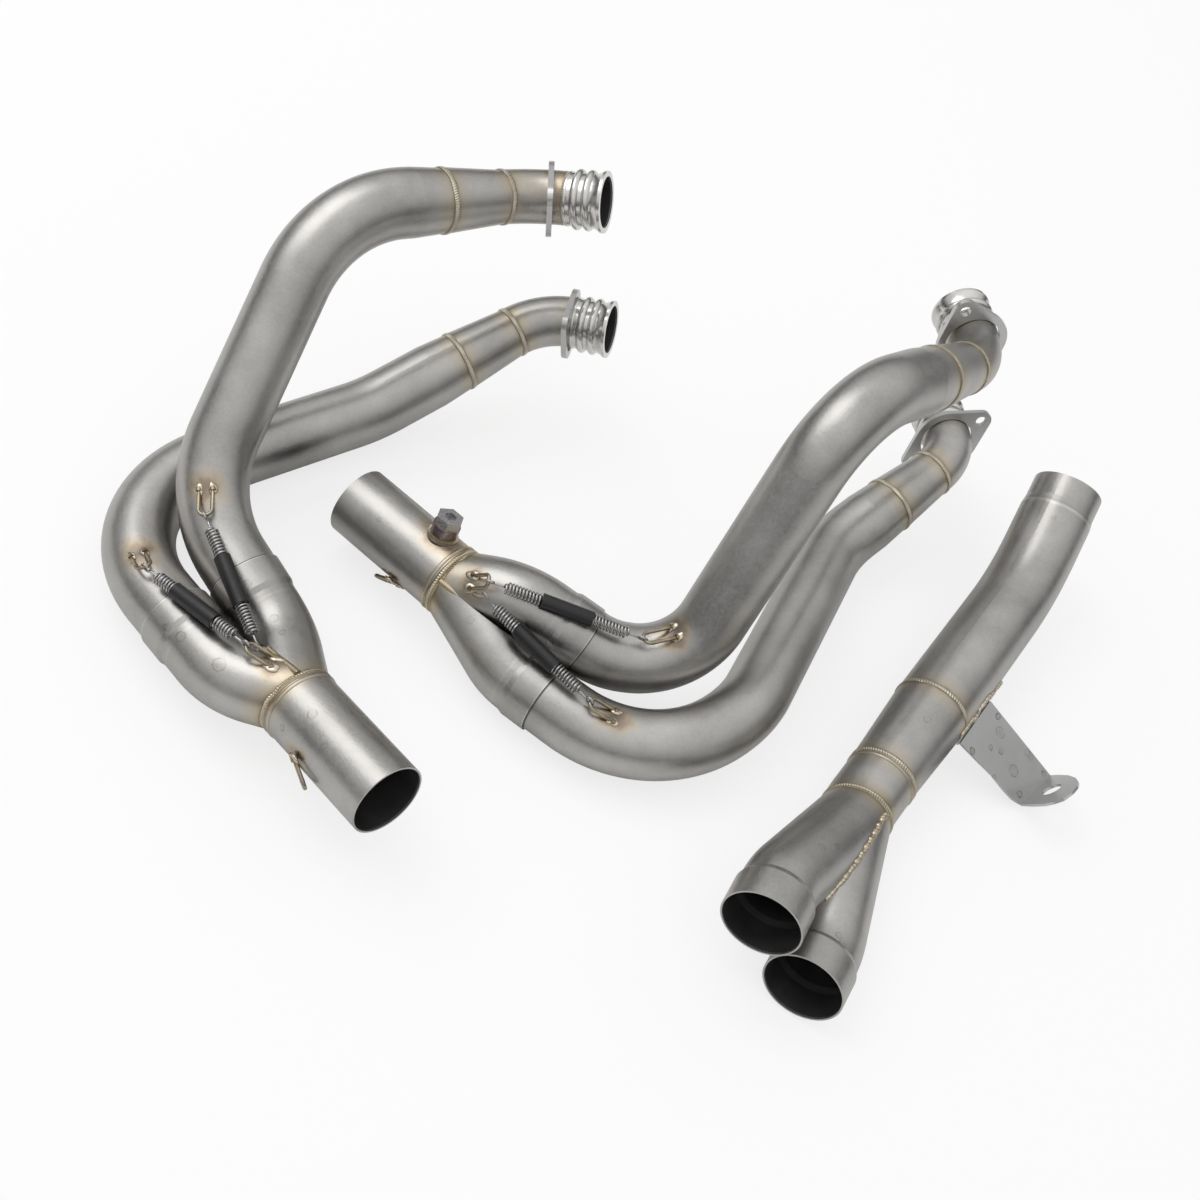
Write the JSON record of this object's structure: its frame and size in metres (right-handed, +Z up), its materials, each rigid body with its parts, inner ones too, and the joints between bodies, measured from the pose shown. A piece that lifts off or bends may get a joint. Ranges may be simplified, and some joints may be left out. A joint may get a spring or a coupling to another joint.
{
  "type": "motorcycle exhaust header",
  "caption": "Stainless motorcycle exhaust header in separate sections: paired port pipes running into collectors, and a link with a hanger bracket that joins the collectors into one outlet.",
  "frame": {"origin": "middle of the bounding box, on the floor that the sections lie on", "axes": "+Z up, +X from the left pair of pipes towards the link, +Y from the collectors' outlets towards the ports"},
  "size_m": [0.7026, 0.5693, 0.2399],
  "materials": {
    "tube_steel": "brushed stainless with straw heat tint at the welds",
    "turned_steel": "turned, bright",
    "plate_steel": "bare cut sheet, satin",
    "weld": "weld metal, straw tinted",
    "hook_wire": "drawn wire, heat tinted at its feet",
    "spring_wire": "dark spring wire",
    "rubber": "matt black rubber",
    "fitting_steel": "turned steel, heat tinted"
  },
  "bodies": {
    "root": {"left_outlet": "tube_steel", "left_arm_1": "tube_steel", "left_arm_2": "tube_steel", "left_crotch_strip": "weld", "left_outlet_hook": "hook_wire", "left_pipe_1": "tube_steel", "left_cone_1": "tube_steel", "left_elbow_1": "tube_steel", "left_collar_1": "turned_steel", "left_flange_1": "plate_steel", "left_pipe_2": "tube_steel", "left_cone_2": "tube_steel", "left_elbow_2": "tube_steel", "left_collar_2": "turned_steel", "left_flange_2": "plate_steel", "left_pipe_hook_1": "hook_wire", "left_arm_hook_1": "hook_wire", "left_spring_1": "spring_wire", "left_rubber_1": "rubber", "left_pipe_hook_2": "hook_wire", "left_arm_hook_2": "hook_wire", "left_spring_2": "spring_wire", "left_rubber_2": "rubber", "right_outlet": "tube_steel", "right_arm_1": "tube_steel", "right_arm_2": "tube_steel", "right_crotch_strip": "weld", "right_outlet_hook": "hook_wire", "right_pipe_1": "tube_steel", "right_cone_1": "tube_steel", "right_elbow_1": "tube_steel", "right_collar_1": "turned_steel", "right_flange_1": "plate_steel", "right_pipe_2": "tube_steel", "right_cone_2": "tube_steel", "right_elbow_2": "tube_steel", "right_collar_2": "turned_steel", "right_flange_2": "plate_steel", "right_pipe_hook_1": "hook_wire", "right_arm_hook_1": "hook_wire", "right_spring_1": "spring_wire", "right_rubber_1": "rubber", "right_pipe_hook_2": "hook_wire", "right_arm_hook_2": "hook_wire", "right_spring_2": "spring_wire", "right_rubber_2": "rubber", "right_bung": "fitting_steel", "right_plug": "fitting_steel", "link_main": "tube_steel", "link_cone": "tube_steel", "link_neck": "tube_steel", "link_inlet_1": "tube_steel", "link_inlet_2": "tube_steel", "link_bracket": "plate_steel"}
  },
  "joints": []
}
